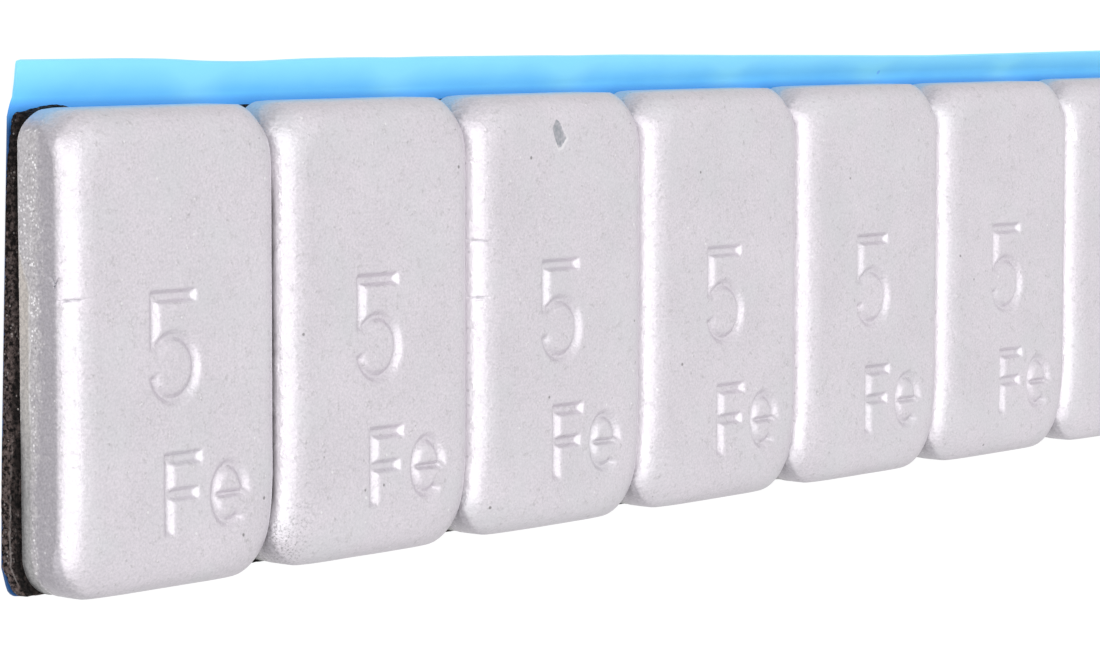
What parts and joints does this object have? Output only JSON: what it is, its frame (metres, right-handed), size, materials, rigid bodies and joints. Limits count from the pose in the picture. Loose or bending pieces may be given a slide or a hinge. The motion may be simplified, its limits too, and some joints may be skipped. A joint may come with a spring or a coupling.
{
  "type": "adhesive wheel balance weight strip",
  "caption": "Flat strip of stick-on steel balance weights: rounded grey segments side by side on black foam tape with a blue peel-off liner.",
  "frame": {"origin": "back of the release liner, at the middle of the strip's length and of the segments' width", "axes": "+X along the strip, +Y across it towards the liner's free edge, +Z out of the segments' faces"},
  "size_m": [0.1442, 0.0209, 0.0039],
  "materials": {
    "coated_steel": "satin silver-grey powder coat on pressed steel",
    "foam": "matt black foam with a fine open grain",
    "liner_film": "smooth sky-blue plastic film"
  },
  "bodies": {
    "root": {"release_liner": "liner_film", "foam_tape": "foam", "weight_01": "coated_steel", "weight_02": "coated_steel", "weight_03": "coated_steel", "weight_04": "coated_steel", "weight_05": "coated_steel", "weight_06": "coated_steel", "weight_07": "coated_steel", "weight_08": "coated_steel", "weight_09": "coated_steel", "weight_10": "coated_steel", "weight_11": "coated_steel", "weight_12": "coated_steel"}
  },
  "joints": []
}
